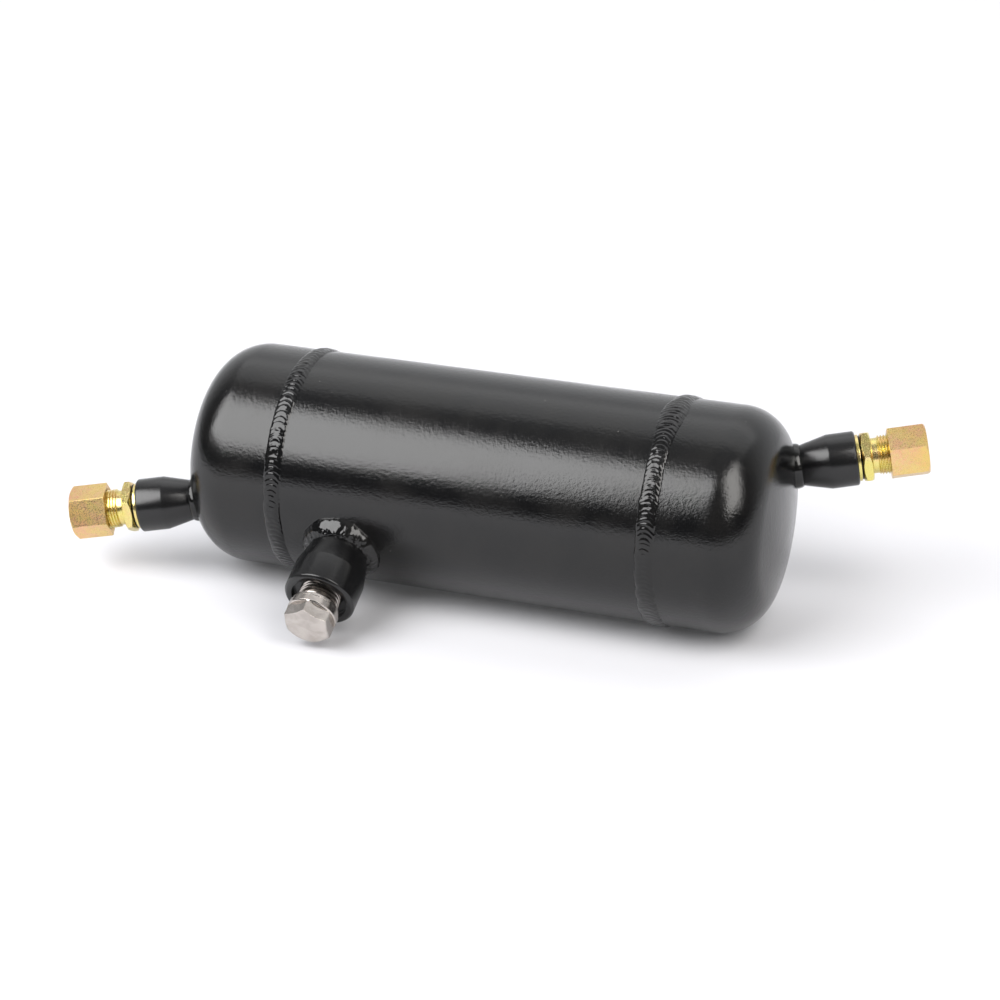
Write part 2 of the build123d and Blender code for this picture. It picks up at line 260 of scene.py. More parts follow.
def buildEdgeGroup():
    # where a surface turns sharply, for worn or thin coating along edges
    broken, whole = 0.3, 0.6
    tree, entry, leave = newGroup(
        "edgeWear",
        [("Vector", "NodeSocketVector", None), ("Low", "NodeSocketFloat", 0.52),
         ("High", "NodeSocketFloat", 0.62), ("Break Scale", "NodeSocketFloat", 900.0)],
        [("Mask", "NodeSocketFloat")])
    shape = addNode(tree, "ShaderNodeNewGeometry")
    turn = addNode(tree, "ShaderNodeMapRange", interpolation_type="SMOOTHSTEP")
    tree.links.new(shape.outputs["Pointiness"], turn.inputs["Value"])
    tree.links.new(entry.outputs["Low"], turn.inputs["From Min"])
    tree.links.new(entry.outputs["High"], turn.inputs["From Max"])
    breaks = addNode(tree, "ShaderNodeTexNoise", Detail=3.0)
    tree.links.new(entry.outputs["Vector"], breaks.inputs["Vector"])
    tree.links.new(entry.outputs["Break Scale"], breaks.inputs["Scale"])
    worn = maths(tree, "MULTIPLY", turn.outputs["Result"], ramp(tree, breaks.outputs["Fac"], broken, whole))
    tree.links.new(worn, leave.inputs["Mask"])
    return tree


groups = {
    "peel": buildPeelGroup(),
    "dust": buildDustGroup(),
    "mottle": buildMottleGroup(),
    "turning": buildTurningGroup(),
    "edge": buildEdgeGroup(),
}


# ---- materials ----
class Finish:
    # one Principled material with the pieces that its recipe adds
    def __init__(self, name, place=None, **constants):
        self.material = bpy.data.materials.new(name)
        self.material.use_nodes = True
        self.tree = self.material.node_tree
        self.shader = self.tree.nodes["Principled BSDF"]
        for key, value in constants.items():
            self.shader.inputs[key.replace("_", " ")].default_value = value
        self.vector = self.tree.nodes.new("ShaderNodeTexCoord").outputs["Object"]
        if place is not None:
            inverse = place.inverted()
            mapping = self.tree.nodes.new("ShaderNodeMapping")
            mapping.inputs["Location"].default_value = inverse.to_translation()
            mapping.inputs["Rotation"].default_value = inverse.to_euler()
            self.tree.links.new(self.vector, mapping.inputs["Vector"])
            self.vector = mapping.outputs["Vector"]

    def group(self, name, **values):
        # one of the shader groups, on this material's coordinates
        made = self.tree.nodes.new("ShaderNodeGroup")
        made.node_tree = groups[name]
        self.tree.links.new(self.vector, made.inputs["Vector"])
        for key, value in values.items():
            made.inputs[key.replace("_", " ")].default_value = value
        return made

    def between(self, mask, first, second, kind="RGBA"):
        # first where the mask is 0, second where it is 1; either is a value or a socket
        made = self.tree.nodes.new("ShaderNodeMix")
        made.data_type = kind
        sockets = [socket for socket in made.inputs if socket.enabled]
        self.tree.links.new(mask, sockets[0])
        for socket, value in zip(sockets[1:], (first, second)):
            if isinstance(value, bpy.types.NodeSocket):
                self.tree.links.new(value, socket)
            else:
                socket.default_value = value
        return [socket for socket in made.outputs if socket.enabled][0]

    def colour(self, socket):
        self.tree.links.new(socket, self.shader.inputs["Base Color"])

    def rough(self, socket):
        self.tree.links.new(socket, self.shader.inputs["Roughness"])

    def bump(self, *layers):
        # layers of (height, strength, distance), each over the one before
        normal = None
        for height, strength, distance in layers:
            made = addNode(self.tree, "ShaderNodeBump", Strength=strength, Distance=distance)
            self.tree.links.new(height, made.inputs["Height"])
            if normal is not None:
                self.tree.links.new(normal, made.inputs["Normal"])
            normal = made.outputs["Normal"]
        self.tree.links.new(normal, self.shader.inputs["Normal"])
        return self.material


def tankPaint(name, roughness=0.15, peelStrength=0.6):
    # gloss black powder coat, a little duller in its cloudy patches
    look = {"black": (0.0042, 0.0043, 0.0046, 1), "cloudy": (0.0068, 0.0066, 0.0064, 1),
            "dust": (0.12, 0.115, 0.11, 1)}
    finish = Finish(name, Roughness=roughness, Specular_IOR_Level=0.41)
    peel = finish.group("peel", Wave_Scale=600.0, Grain_Scale=1500.0, Grain_Share=0.75)
    mottle = finish.group("mottle", Cloud_Scale=38.0, Grain_Scale=900.0)
    dust = finish.group("dust", Scale=120.0, Size=0.036)
    base = finish.between(mottle.outputs["Cloud"], look["black"], look["cloudy"])
    finish.colour(finish.between(dust.outputs["Mask"], base, look["dust"]))
    finish.rough(finish.between(mottle.outputs["Cloud"], roughness - 0.02, roughness + 0.05, "FLOAT"))
    return finish.bump((peel.outputs["Height"], peelStrength, 0.14 * mm),
                       (dust.outputs["Mask"], 0.6, 0.2 * mm))


def bossPaint(name, place):
    # the same coat, thinner, over turned steel
    look = {"black": (0.0045, 0.0045, 0.0048, 1), "edge": (0.03, 0.03, 0.031, 1)}
    finish = Finish(name, place, Roughness=0.17, Specular_IOR_Level=0.5)
    turning = finish.group("turning", Ring_Scale=2400.0)
    peel = finish.group("peel", Wave_Scale=700.0, Grain_Scale=2400.0, Grain_Share=0.4)
    edge = finish.group("edge", Low=0.53, High=0.66, Break_Scale=600.0)
    dust = finish.group("dust", Scale=160.0, Size=0.045)
    worn = finish.between(edge.outputs["Mask"], look["black"], look["edge"])
    finish.colour(finish.between(dust.outputs["Mask"], worn, look["edge"]))
    finish.rough(finish.between(turning.outputs["Height"], 0.19, 0.3, "FLOAT"))
    return finish.bump((turning.outputs["Height"], 0.1, 0.06 * mm),
                       (peel.outputs["Height"], 0.3, 0.1 * mm))


def zincPlate(name, place, look):
    # yellow passivated zinc: pink and green patches over a pale gold, with a fine grain
    finish = Finish(name, place, Metallic=1.0, Roughness=0.3)
    broad = finish.group("mottle", Cloud_Scale=95.0, Grain_Scale=2600.0)
    fine = finish.group("mottle", Cloud_Scale=420.0, Grain_Scale=3800.0)
    edge = finish.group("edge", Low=0.52, High=0.6, Break_Scale=1300.0)
    darker = tuple(part * 0.55 for part in look["yellow"][:3]) + (1,)
    tint = finish.between(broad.outputs["Cloud"], look["yellow"], look["pink"])
    tint = finish.between(maths(finish.tree, "MULTIPLY", fine.outputs["Cloud"], 0.45), tint, look["green"])
    tint = finish.between(maths(finish.tree, "MULTIPLY", fine.outputs["Grain"], 0.3), tint, darker)
    tint = finish.between(maths(finish.tree, "MULTIPLY", edge.outputs["Mask"], 0.55), tint, look["worn"])
    if look["shadedBand"]:
        # painted shadow: a dark band where shade falls between the seal and the hexagon
        low, high = look["shadedBand"]
        split = finish.tree.nodes.new("ShaderNodeSeparateXYZ")
        finish.tree.links.new(finish.vector, split.inputs["Vector"])
        above = maths(finish.tree, "GREATER_THAN", split.outputs[2], low)
        below = maths(finish.tree, "LESS_THAN", split.outputs[2], high)
        tint = finish.between(maths(finish.tree, "MULTIPLY", above, below), tint, look["shadow"])
    finish.colour(tint)
    finish.rough(finish.between(broad.outputs["Grain"], look["smooth"], look["dull"], "FLOAT"))
    return finish.bump((broad.outputs["Grain"], look["grainBump"], 0.06 * mm))


def plugSteel(name, place):
    # bright turned stainless steel
    look = {"steel": (0.55, 0.51, 0.475, 1), "dull": (0.43, 0.395, 0.365, 1)}
    finish = Finish(name, place, Metallic=1.0, Roughness=0.22)
    turning = finish.group("turning", Ring_Scale=1000.0)
    mottle = finish.group("mottle", Cloud_Scale=140.0, Grain_Scale=1900.0)
    finish.colour(finish.between(mottle.outputs["Cloud"], look["steel"], look["dull"]))
    finish.rough(finish.between(mottle.outputs["Grain"], 0.18, 0.25, "FLOAT"))
    return finish.bump((turning.outputs["Height"], 0.08, 0.04 * mm))


def plainFinish(name, colour, roughness, metallic=0.0):
    # hidden pieces: an even colour broken by cloud and grain
    finish = Finish(name, Roughness=roughness, Metallic=metallic)
    mottle = finish.group("mottle", Cloud_Scale=120.0, Grain_Scale=1500.0)
    darker = tuple(part * 0.6 for part in colour[:3]) + (1,)
    finish.colour(finish.between(mottle.outputs["Cloud"], colour, darker))
    return finish.bump((mottle.outputs["Grain"], 0.3, 0.1 * mm))


paint = tankPaint("tankBlack")
weldPaint = tankPaint("weldBlack", roughness=0.1, peelStrength=0.25)
print("materials ready")


# ---- shell and heads ----
tank = {
    "wall": 4.5 * mm,
    "headWall": 4.5 * mm,
    "rootGap": 2.0 * mm,
    "headStraight": 28.5 * mm,   # from the weld's centre line to the knuckle
    "knuckle": 25.0 * mm,
    "crown": 200.0 * mm,
    "steps": 256,
}
weldPlane = shellHalfLength + tank["rootGap"] / 2     # from the shell's middle to a girth weld
kneeX = weldPlane + tank["headStraight"]
crownDrop = sqrt((tank["crown"] - tank["knuckle"]) ** 2 - (shellRadius - tank["knuckle"]) ** 2)
crownCentre = kneeX - crownDrop


def headLine(inset, arcSteps):
    # half outline of a head from its open edge to its tip, as (radius, height)
    join = atan2(shellRadius - tank["knuckle"], crownDrop)
    knuckle = tank["knuckle"] - inset
    crown = tank["crown"] - inset
    edge = weldPlane + tank["rootGap"] / 2
    straightSteps = 6
    straight = [(shellRadius - inset, edge + (kneeX - edge) * step / straightSteps)
                for step in range(straightSteps + 1)]
    bend = []
    for step in range(1, arcSteps + 1):
        angle = pi / 2 + (join - pi / 2) * step / arcSteps
        bend.append((shellRadius - tank["knuckle"] + knuckle * sin(angle), kneeX + knuckle * cos(angle)))
    dome = []
    for step in range(1, arcSteps + 1):
        angle = join * (1 - step / arcSteps)
        dome.append((crown * sin(angle), crownCentre + crown * cos(angle)))
    return straight + bend + dome


def shellBody():
    outer, inner = shellRadius, shellRadius - tank["wall"]
    rows = 40
    line = [(outer, -shellHalfLength + 2 * shellHalfLength * row / rows) for row in range(rows + 1)]
    return turnedBody(line + [(inner, shellHalfLength), (inner, -shellHalfLength)], tank["steps"])


def headBody(sign):
    outer = headLine(0, arcSteps=24)
    inner = headLine(tank["headWall"], arcSteps=12)
    mesh = bmesh.new()
    outlineWire(mesh, outer + inner[::-1])
    spinRound(mesh, tank["steps"], mergeWithin=1e-6)
    if sign < 0:
        bmesh.ops.scale(mesh, vec=(1, 1, -1), verts=mesh.verts)
    bmesh.ops.recalc_face_normals(mesh, faces=mesh.faces)
    return mesh


shellPiece = piece("shell_skin", shellBody(), paint, "tank", ["shell_tube"], alongShell())
headPieces = {}
for side, sign in (("left", -1), ("right", 1)):
    headPieces[side] = piece(f"{side}_head_skin", headBody(sign), paint, "tank",
                             [f"{side}_head"], alongShell())
print("shell and heads ready")


# ---- girth welds ----
girthWelds = {
    "left": {
        "width": 9.2 * mm, "height": 1.25 * mm,
        "ripples": 112, "vary": 2.0, "fineAt": 50.0,       # how many, how uneven, and where finest
        "ripple": 0.22, "bow": 1.3, "fade": 0.35,          # depth, bend, and how far they flatten out
        "wander": 0.25 * mm, "swell": 0.07, "flat": 2.0,
        "wide": 0.12, "wideAt": 20.0, "wideSpan": 14.0,    # a broad stretch, in degrees from the top
        "seed": 3.0,
    },
    "right": {
        "width": 9.8 * mm, "height": 1.28 * mm,
        "ripples": 96, "vary": 8.0, "fineAt": 55.0,
        "ripple": 0.2, "bow": 1.5, "fade": 0.75,
        "wander": 0.4 * mm, "swell": 0.12, "flat": 2.8,
        "wide": 0.36, "wideAt": 10.0, "wideSpan": 13.0,
        "seed": 11.0,
    },
}
beadShape = {
    "across": 22, "around": 1080,
    "sunk": 0.15 * mm,             # underside of the bead, below the shell's face
    "rootDrop": 0.1 * mm,          # from the underside to the root in the gap
    "foot": 0.03 * mm, "toeDrop": 0.12 * mm,
    "toeShare": 0.999, "crownPower": 0.75,
    "rising": 0.3,                 # share of a ripple that rises
    "calmAt": 115, "calmSpan": 32,     # where the ripples flatten out, in degrees from the top
    "deeper": 3.2,                 # ripples on the broad stretch
    "grit": 0.17, "gritScale": 420,
    "sway": 0.2 * mm, "jitter": 0.4, "noiseRing": 6,
}


def bellAt(angle, middle, span):
    # 1 at the middle of a stretch of the seam, 0 far from it
    away = remainder(angle - radians(middle), 2 * pi) / radians(span)
    return exp(-away ** 2)


def girthBead(side, sign):
    values, shape = girthWelds[side], beadShape
    half = values["width"] / 2
    under = shellRadius - shape["sunk"]
    root = under - shape["rootDrop"]
    gap = tank["rootGap"] / 2
    inside = shellRadius - tank["wall"]
    top = [(under, -half + 2 * half * step / shape["across"]) for step in range(shape["across"] + 1)]
    mesh = bmesh.new()
    outlineWire(mesh, top + [(root, gap), (inside, gap), (inside, -gap), (root, -gap)])
    spinRound(mesh, shape["around"])
    for vertex in mesh.verts:
        radius = radiusOf(vertex)
        if radius < (under + root) / 2:
            continue
        # angle runs from the top towards the front
        angle = atan2(vertex.co.y, vertex.co.x)
        part = vertex.co.z / half
        ring = shape["noiseRing"]
        spot = Vector((cos(angle) * ring, sin(angle) * ring, values["seed"]))
        sway = noise.noise(spot) * values["wander"]
        sway += noise.noise(spot * 4 + Vector((0, 0, part))) * shape["sway"]
        wide = values["wide"] * bellAt(angle, values["wideAt"], values["wideSpan"])
        swell = 1 + values["swell"] * noise.noise(spot * 1.7) + wide
        crown = max(0.0, 1 - abs(part) ** values["flat"]) ** shape["crownPower"]
        # one ripple rises fast and falls slowly, like a coin laid on the next
        jitter = shape["jitter"] * noise.noise(spot * 5)
        jitter += values["vary"] * sin(angle - radians(values["fineAt"]))
        phase = angle * values["ripples"] / (2 * pi) + values["bow"] * (1 - part ** 2) + jitter
        saw = phase - floor(phase)
        lift = saw / shape["rising"] if saw < shape["rising"] else (1 - saw) / (1 - shape["rising"])
        coin = lift * lift * (3 - 2 * lift)
        calm = 1 - values["fade"] * bellAt(angle, shape["calmAt"], shape["calmSpan"])
        depth = values["ripple"] * calm * (1 + shape["deeper"] * wide)
        rough = shape["grit"] * noise.noise(vertex.co * shape["gritScale"]) * calm
        height = values["height"] * min(1.0, crown * (1 - depth * (1 - coin) + rough))
        target = shellRadius - shape["foot"] + max(0.0, height)
        if abs(part) > shape["toeShare"]:
            target = shellRadius - shape["toeDrop"]
        widen(vertex, target / radius)
        vertex.co.z = vertex.co.z * swell + sway
    for vertex in mesh.verts:
        vertex.co.z += sign * weldPlane
    bmesh.ops.recalc_face_normals(mesh, faces=mesh.faces)
    return mesh


for side, sign in (("left", -1), ("right", 1)):
    piece(f"{side}_weld_bead", girthBead(side, sign), weldPaint, "tank",
          [f"{side}_girth_weld"], alongShell(), sharpAngle=60)
print("girth welds ready")


# ---- port bosses, drain boss and their welds ----
portBoss = {
    "small": 20.4 * mm, "big": 27.4 * mm,          # diameters at the ends of the taper
    "taper": 13.9 * mm, "barrel": 13.9 * mm,
    "spigot": 16.0 * mm, "reach": 7.7 * mm,        # the end that passes through the head's wall
    "tap": 18.2 * mm, "tapDepth": 14.0 * mm, "bore": 9.0 * mm,
    "edge": 0.8 * mm, "rounding": 0.18 * mm, "steps": 128,
}
drainBoss = {
    "neck": 31.0 * mm, "big": 36.4 * mm,
    "taper": 13.1 * mm, "barrel": 16.1 * mm,
    "recess": 28.6 * mm, "recessDepth": 3.5 * mm,
    "tap": 21.155 * mm, "tapDepth": 15.0 * mm, "bore": 16.0 * mm,
    "edge": 1.2 * mm, "rounding": 0.35 * mm, "steps": 160,
}


def waistOf(boss, face):
    # height at which the taper starts
    return face - boss["barrel"] - boss["taper"]


def portBossBody(face):
    boss = portBoss
    waist = waistOf(boss, face)
    foot = waist - boss["reach"]
    small, big, spigot = boss["small"] / 2, boss["big"] / 2, boss["spigot"] / 2
    tap, bore = boss["tap"] / 2, boss["bore"] / 2
    return turnedBody([
        (bore, foot), (spigot, foot), (spigot, waist), (small, waist),
        (big, face - boss["barrel"]), (big, face - boss["edge"]), (big - boss["edge"], face),
        (tap, face), (tap, face - boss["tapDepth"]), (bore, face - boss["tapDepth"]),
    ], boss["steps"], boss["rounding"])


def drainBossBody(face, foot):
    boss = drainBoss
    big, neck, recess = boss["big"] / 2, boss["neck"] / 2, boss["recess"] / 2
    tap, bore, seat = boss["tap"] / 2, boss["bore"] / 2, face - boss["recessDepth"]
    return turnedBody([
        (bore, foot), (neck, foot), (neck, waistOf(boss, face)), (big, face - boss["barrel"]),
        (big, face - boss["edge"]), (big - boss["edge"], face), (recess, face), (recess, seat),
        (tap, seat), (tap, seat - boss["tapDepth"]), (bore, seat - boss["tapDepth"]),
    ], boss["steps"], boss["rounding"])


filletWelds = {
    "drain": {
        "inner": drainBoss["neck"] / 2 - 0.3 * mm, "leg": 5.4 * mm,
        "rise": 0.4 * mm, "cap": 1.5 * mm, "round": 1.5,      # how far up the boss, how uneven, how convex
        "lobes": 3.1, "grain": 400, "lumpSize": 0.55 * mm,
        "ripples": 34, "rippleSize": 0.12 * mm, "seed": 5.0,
    },
    "port": {
        "inner": portBoss["small"] / 2 - 0.25 * mm, "leg": 1.5 * mm,
        "rise": 0.05 * mm, "cap": 0.15 * mm, "round": 3.2,
        "lobes": 3.0, "grain": 500, "lumpSize": 0.12 * mm,
        "ripples": 40, "rippleSize": 0.05 * mm, "seed": 8.0,
    },
}
filletShape = {
    "across": 20, "around": 360,
    "toeDrop": 0.25 * mm, "toeShare": 0.985,
    "skirt": 1.2 * mm,             # closed underside, below the surface
    "toeWander": 0.09, "capWander": 0.3, "risePower": 0.62,
    "noiseRing": 2.2,
    "above": 200 * mm,             # where the rays start
}


def filletRing(values, place, base, waist):
    # weld between a round boss and the surface it stands on, which is met by rays along the boss
    shape = filletShape
    crestLine = waist + values["rise"]
    inverse = place.inverted()
    along = (place.to_3x3() @ Vector((0, 0, -1))).normalized()
    mesh = bmesh.new()
    outlineWire(mesh, [(values["inner"] + values["leg"] * step / shape["across"], 0)
                       for step in range(shape["across"] + 1)], closed=False)
    spinRound(mesh, shape["around"])
    for vertex in mesh.verts:
        radius = radiusOf(vertex)
        angle = atan2(vertex.co.y, vertex.co.x)
        part = (radius - values["inner"]) / values["leg"]
        ring = Vector((cos(angle) * shape["noiseRing"], sin(angle) * shape["noiseRing"], values["seed"]))
        lobe = noise.noise(ring * 1.6) + 0.5 * noise.noise(ring * values["lobes"])
        widen(vertex, 1 + part * values["leg"] * shape["toeWander"] * lobe / radius)
        start = place @ Vector((vertex.co.x, vertex.co.y, shape["above"]))
        ground = (inverse @ base.ray_cast(start, along)[0]).z
        crest = crestLine + values["cap"] * shape["capWander"] * lobe
        rise = max(0.0, 1 - max(0.0, part) ** values["round"]) ** shape["risePower"]
        grain = Vector((vertex.co.x, vertex.co.y, part * values["leg"])) * values["grain"]
        lumps = noise.noise(grain) + 0.45 * noise.noise(grain * 2.3)
        wave = angle * values["ripples"] / (2 * pi) + 1.2 * part + 0.9 * noise.noise(ring * 3)
        ripple = 0.5 + 0.5 * cos(2 * pi * wave)
        uneven = values["lumpSize"] * lumps + values["rippleSize"] * ripple
        height = ground + (crest - ground) * rise + uneven * sin(pi * min(1.0, part + 0.03))
        toe = ground - shape["toeDrop"]
        vertex.co.z = toe if part > shape["toeShare"] else max(height, toe)
    rims = [edge for edge in mesh.edges if edge.is_boundary]
    grown = bmesh.ops.extrude_edge_only(mesh, edges=rims)["geom"]
    lowered = [item for item in grown if isinstance(item, bmesh.types.BMVert)]
    bmesh.ops.translate(mesh, vec=(0, 0, -shape["skirt"]), verts=lowered)
    bmesh.ops.bridge_loops(mesh, edges=[edge for edge in mesh.edges if edge.is_boundary])
    bmesh.ops.recalc_face_normals(mesh, faces=mesh.faces)
    return mesh


def surfaceOf(thing):
    # a tree of the object's faces, for rays
    return BVHTree.FromPolygons([vertex.co.copy() for vertex in thing.data.vertices],
                                [polygon.vertices[:] for polygon in thing.data.polygons])


for side in ("left", "right"):
    place = onJoint(f"{side}_nut_turn")
    face = reachAlong(f"{side}_port_boss", place)[1]
    piece(f"{side}_boss_turned", portBossBody(face), bossPaint(f"{side}BossBlack", place), "tank",
          [f"{side}_port_boss"], place)
    ring = filletRing(filletWelds["port"], place, surfaceOf(headPieces[side]), waistOf(portBoss, face))
    piece(f"{side}_boss_fillet", ring, weldPaint, "tank", [f"{side}_port_boss_weld"],
          place, sharpAngle=60)

drainPlace = onJoint("plug_turn")
drainFoot, drainFace = reachAlong("drain_boss", drainPlace)
piece("drain_boss_turned", drainBossBody(drainFace, drainFoot), bossPaint("drainBossBlack", drainPlace),
      "tank", ["drain_boss"], drainPlace)
drainRing = filletRing(filletWelds["drain"], drainPlace, surfaceOf(shellPiece),
                       waistOf(drainBoss, drainFace))
piece("drain_boss_fillet", drainRing, weldPaint, "tank", ["drain_boss_weld"], drainPlace,
      sharpAngle=60)
print("bosses and fillet welds ready")


# ---- fittings: copies of the CAD pieces with their edges eased, and real helices on their threads ----
threads = {
    "union": {"start": -15.35 * mm, "end": -1.25 * mm, "pitch": 1.5 * mm,
              "crest": 10.0 * mm, "core": 9.1 * mm, "inner": 8.3 * mm},
    "plug": {"start": -18.1 * mm, "end": -6.5 * mm, "pitch": 1.814 * mm,
             "crest": 10.4 * mm, "core": 9.39 * mm, "inner": 8.6 * mm},
}
threadShape = {
    "steps": 96, "rowsPerTurn": 10,
    "crestHeight": 1.35, "flank": 3.4,       # a flank's slope, cut off flat at the crest and the root
    "runInSlope": 1.2, "runOutSlope": 0.9,
}
easing = {"nut": 0.16 * mm, "union": 0.12 * mm, "washer": 0.15 * mm,
          "plug": 0.13 * mm, "plugSeal": 0.1 * mm}


def threadSleeve(values):
    # one start of a right-hand thread as a closed sleeve, run out at both ends
    steps, rowsPerTurn = threadShape["steps"], threadShape["rowsPerTurn"]
    start, end, pitch = values["start"], values["end"], values["pitch"]
    core, crest = values["core"], values["crest"]
    rows = (ceil((end - start) / pitch) + 2) * rowsPerTurn
    mesh = bmesh.new()
    grid = []
    for row in range(rows + rowsPerTurn + 1):
        share = (row % rowsPerTurn) / rowsPerTurn
        flank = threadShape["crestHeight"] - abs(share - 0.5) * threadShape["flank"]
        shape = max(0.0, min(1.0, flank))
        line = []
        for step in range(steps):
            height = max(start, min(end, start - pitch + pitch * (row / rowsPerTurn + step / steps)))
            radius = min(core + (crest - core) * shape,
                         core + (end - height) * threadShape["runOutSlope"],
                         core + (height - start) * threadShape["runInSlope"])
            turn = 2 * pi * step / steps
            line.append(mesh.verts.new((radius * cos(turn), radius * sin(turn), height)))
        grid.append(line)
    for row in range(rows):
        for step in range(steps):
            # the last step of a row meets the first step of the row a turn further on
            nextRow, nextStep = (row, step + 1) if step + 1 < steps else (row + rowsPerTurn, 0)
            mesh.faces.new([grid[row][step], grid[nextRow][nextStep],
                            grid[nextRow + 1][nextStep], grid[row + 1][step]])
    bmesh.ops.remove_doubles(mesh, verts=mesh.verts, dist=1e-6)
    bmesh.ops.delete(mesh, geom=[vertex for vertex in mesh.verts if not vertex.link_faces], context="VERTS")
    rims = [edge for edge in mesh.edges if edge.is_boundary]
    grown = bmesh.ops.extrude_edge_only(mesh, edges=rims)["geom"]
    for vertex in [item for item in grown if isinstance(item, bmesh.types.BMVert)]:
        widen(vertex, values["inner"] / radiusOf(vertex))
    bmesh.ops.bridge_loops(mesh, edges=[edge for edge in mesh.edges if edge.is_boundary])
    bmesh.ops.recalc_face_normals(mesh, faces=mesh.faces)
    return mesh


def trimThread(mesh, place, thread):
    # cuts ring threads back to a plain core, just under the helix
    core, margin = thread["core"] - 0.06 * mm, 0.3 * mm
    bmesh.ops.transform(mesh, matrix=place.inverted(), verts=mesh.verts)
    for vertex in mesh.verts:
        radius = radiusOf(vertex)
        if thread["start"] - margin < vertex.co.z < thread["end"] + margin and radius > core:
            widen(vertex, core / radius)
    bmesh.ops.transform(mesh, matrix=place, verts=mesh.verts)


def eased(node, width, place=None, thread=None):
    # a CAD piece with a narrow round along every keen edge
    keenAngle, flatAngle = radians(28), radians(0.6)
    mesh = bmesh.new()
    mesh.from_mesh(nodes[node].data)
    bmesh.ops.remove_doubles(mesh, verts=mesh.verts, dist=2e-6)
    if thread:
        trimThread(mesh, place, thread)
    bmesh.ops.dissolve_degenerate(mesh, dist=1e-6, edges=mesh.edges)
    bmesh.ops.dissolve_limit(mesh, angle_limit=flatAngle, verts=mesh.verts, edges=mesh.edges)
    keen = [edge for edge in mesh.edges if edge.is_manifold and edge.calc_face_angle(0) > keenAngle]
    bmesh.ops.bevel(mesh, geom=keen, offset=width, segments=2, profile=0.5, affect="EDGES",
                    material=-1, clamp_overlap=True)
    bmesh.ops.recalc_face_normals(mesh, faces=mesh.faces)
    return mesh


# shadedBand: heights along the axis that get a painted shadow, or None for no band
zinc = {"worn": (0.80, 0.70, 0.45, 1), "shadow": (0.02, 0.017, 0.01, 1), "shadedBand": None}
nutZinc = dict(zinc, yellow=(0.76, 0.50, 0.18, 1), pink=(0.76, 0.40, 0.24, 1),
               green=(0.68, 0.60, 0.15, 1), smooth=0.24, dull=0.42, grainBump=0.3)
# the union body gets a painted shadow band from -24.2 to -23.35 mm along its axis
unionZinc = dict(zinc, yellow=(0.80, 0.68, 0.20, 1), pink=(0.80, 0.56, 0.28, 1),
                 green=(0.72, 0.72, 0.26, 1), smooth=0.16, dull=0.34, grainBump=0.12,
                 shadedBand=(-24.2 * mm, -23.35 * mm))
for side in ("left", "right"):
    place = onJoint(f"{side}_nut_turn")
    nutCoat = zincPlate(f"{side}NutZinc", place, nutZinc)
    unionCoat = zincPlate(f"{side}UnionZinc", place, unionZinc)
    piece(f"{side}_nut_eased", eased(f"{side}_union_nut", easing["nut"]), nutCoat, f"{side}_nut",
          [f"{side}_union_nut"], weighted=True)
    piece(f"{side}_union_eased", eased(f"{side}_union_body", easing["union"], place, threads["union"]),
          unionCoat, "tank", [f"{side}_union_body"], weighted=True)
    piece(f"{side}_union_thread", threadSleeve(threads["union"]), unionCoat, "tank",
          [f"{side}_union_body"], place, sharpAngle=50)
    piece(f"{side}_washer_eased", eased(f"{side}_seal_washer", easing["washer"]), unionCoat, "tank",
          [f"{side}_seal_washer"], weighted=True)

plugCoat = plugSteel("plugBright", drainPlace)
piece("plug_eased", eased("drain_plug", easing["plug"], drainPlace, threads["plug"]), plugCoat, "plug",
      ["drain_plug"], weighted=True)
piece("plug_seal_eased", eased("plug_seal", easing["plugSeal"]), plugCoat, "plug_ring",
      ["plug_seal"], weighted=True)
piece("plug_thread", threadSleeve(threads["plug"]), plugCoat, "plug", ["drain_plug"],
      drainPlace, sharpAngle=50)

# pieces that stay as CAD made them, in one colour each
hidden = {
    "seal_lip": plainFinish("sealRubber", (0.02, 0.02, 0.021, 1), 0.55),
    "cutting_ring": plainFinish("ringSteel", (0.45, 0.43, 0.40, 1), 0.38, 1.0),
    "backing_ring": plainFinish("innerSteel", (0.16, 0.14, 0.13, 1), 0.6, 0.8),
}
for kind, coat in hidden.items():
    for side in ("left", "right"):
        materials = nodes[f"{side}_{kind}"].data.materials
        materials.clear()
        materials.append(coat)
print("fittings ready")


# ---- stage, light and camera ----
stage = {
    "floorSize": 30.0, "floorColour": (0.6, 0.6, 0.625, 1), "floorRoughness": 0.6,
    "glowColour": (0.98, 0.98, 1.0, 1),
    "glowFrom": 0.1, "glowTo": 0.9,      # metres from the object
    "glow": 0.4, "baseGlow": 0.05,
}
room = {
    "colour": (0.97, 0.98, 1.0, 1),
    "wall": 0.95, "wallFrom": -0.1, "wallTo": 0.8,
    "ceiling": 0.45, "ceilingFrom": 0.84, "ceilingTo": 1.04,
    "brightest": 1.05, "darkest": 0.03,
}
lights = {
    "softboxLeft": {"azimuth": -42, "elevation": 43, "distance": 1.5,
                    "width": 1.36, "height": 1.1, "radiance": 7.8},
    "softboxRight": {"azimuth": 57, "elevation": 43, "distance": 1.5,
                     "width": 0.75, "height": 1.1, "radiance": 7.2, "tint": (1, 0.98, 0.95)},
    "backFill": {"azimuth": 180, "elevation": 62, "distance": 3.0,
                 "width": 4.0, "height": 2.0, "radiance": 0.8},
}
view = {"azimuth": 19.15, "elevation": 24.45, "distance": 1473.9 * mm, "lens": 104.1, "sensor": 36,
        "aim": Vector((4.29 * mm, 0, -7.83 * mm))}     # from the shell's middle


def outwards(azimuth, elevation):
    # away from the object; azimuth 0 is straight in front of it, at -Y
    around, up = radians(azimuth), radians(elevation)
    return Vector((sin(around) * cos(up), -cos(around) * cos(up), sin(up)))


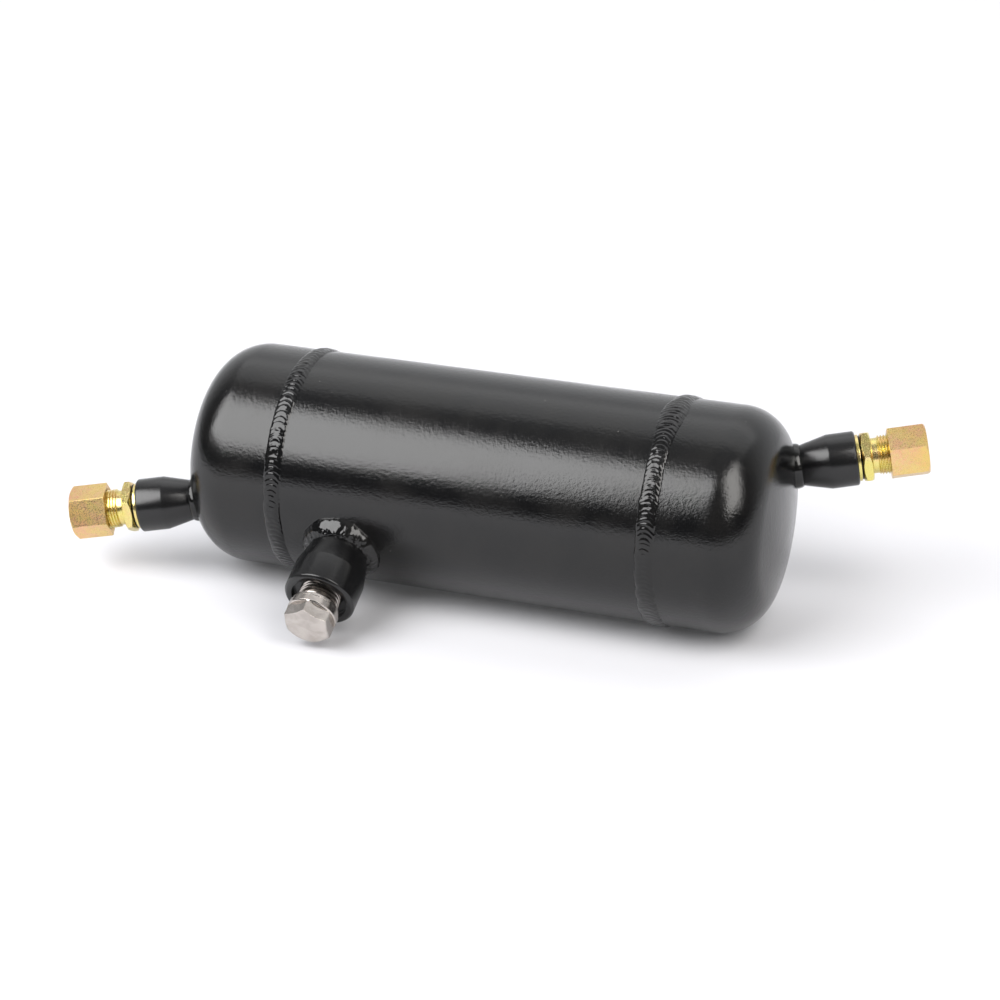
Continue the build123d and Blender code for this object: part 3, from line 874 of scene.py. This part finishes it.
def buildFloor():
    mesh = bmesh.new()
    bmesh.ops.create_grid(mesh, x_segments=1, y_segments=1, size=stage["floorSize"] / 2)
    data = bpy.data.meshes.new("floor")
    mesh.to_mesh(data)
    mesh.free()
    sheet = bpy.data.objects.new("floor", data)
    bpy.context.scene.collection.objects.link(sheet)
    finish = Finish("floorWhite", Roughness=stage["floorRoughness"], Base_Color=stage["floorColour"],
                    Emission_Color=stage["glowColour"])
    # painted light: the sheet glows a little everywhere, and more away from the object
    span = finish.tree.nodes.new("ShaderNodeVectorMath")
    span.operation = "LENGTH"
    finish.tree.links.new(finish.vector, span.inputs[0])
    glow = ramp(finish.tree, span.outputs["Value"], stage["glowFrom"], stage["glowTo"])
    added = maths(finish.tree, "MULTIPLY", glow, stage["glow"])
    level = maths(finish.tree, "ADD", added, stage["baseGlow"])
    finish.tree.links.new(level, finish.shader.inputs["Emission Strength"])
    data.materials.append(finish.material)


def areaLight(name, azimuth, elevation, distance, width, height, radiance, tint=(1, 1, 1)):
    away = outwards(azimuth, elevation)
    data = bpy.data.lights.new(name, "AREA")
    data.shape = "RECTANGLE"
    data.size, data.size_y = width, height
    data.energy = radiance * pi * width * height
    data.color = tint
    lamp = bpy.data.objects.new(name, data)
    lamp.location = shellMiddle + away * distance
    lamp.rotation_euler = away.to_track_quat("Z", "Y").to_euler()
    bpy.context.scene.collection.objects.link(lamp)


def buildWorld():
    # a dim room with a pale wall behind, brightest low down
    world = bpy.data.worlds.new("studio")
    bpy.context.scene.world = world
    world.use_nodes = True
    tree = world.node_tree
    back = tree.nodes["Background"]
    coords = tree.nodes.new("ShaderNodeTexCoord")
    split = tree.nodes.new("ShaderNodeSeparateXYZ")
    tree.links.new(coords.outputs["Generated"], split.inputs["Vector"])
    wall = ramp(tree, split.outputs[1], room["wallFrom"], room["wallTo"])
    ceiling = ramp(tree, split.outputs[2], room["ceilingFrom"], room["ceilingTo"])
    both = maths(tree, "ADD", maths(tree, "MULTIPLY", wall, room["wall"]),
                 maths(tree, "MULTIPLY", ceiling, room["ceiling"]))
    level = maths(tree, "ADD", maths(tree, "MINIMUM", both, room["brightest"]), room["darkest"])
    tree.links.new(level, back.inputs["Strength"])
    back.inputs["Color"].default_value = room["colour"]


def buildCamera():
    away = outwards(view["azimuth"], view["elevation"])
    data = bpy.data.cameras.new("camera")
    data.lens = view["lens"]
    data.sensor_width = view["sensor"]
    camera = bpy.data.objects.new("camera", data)
    camera.location = shellMiddle + view["aim"] + away * view["distance"]
    camera.rotation_euler = away.to_track_quat("Z", "Y").to_euler()
    bpy.context.scene.collection.objects.link(camera)
    bpy.context.scene.camera = camera


buildFloor()
buildWorld()
for name, values in lights.items():
    areaLight(name, **values)
buildCamera()
bpy.context.scene.view_settings.view_transform = "Standard"
print("stage ready")
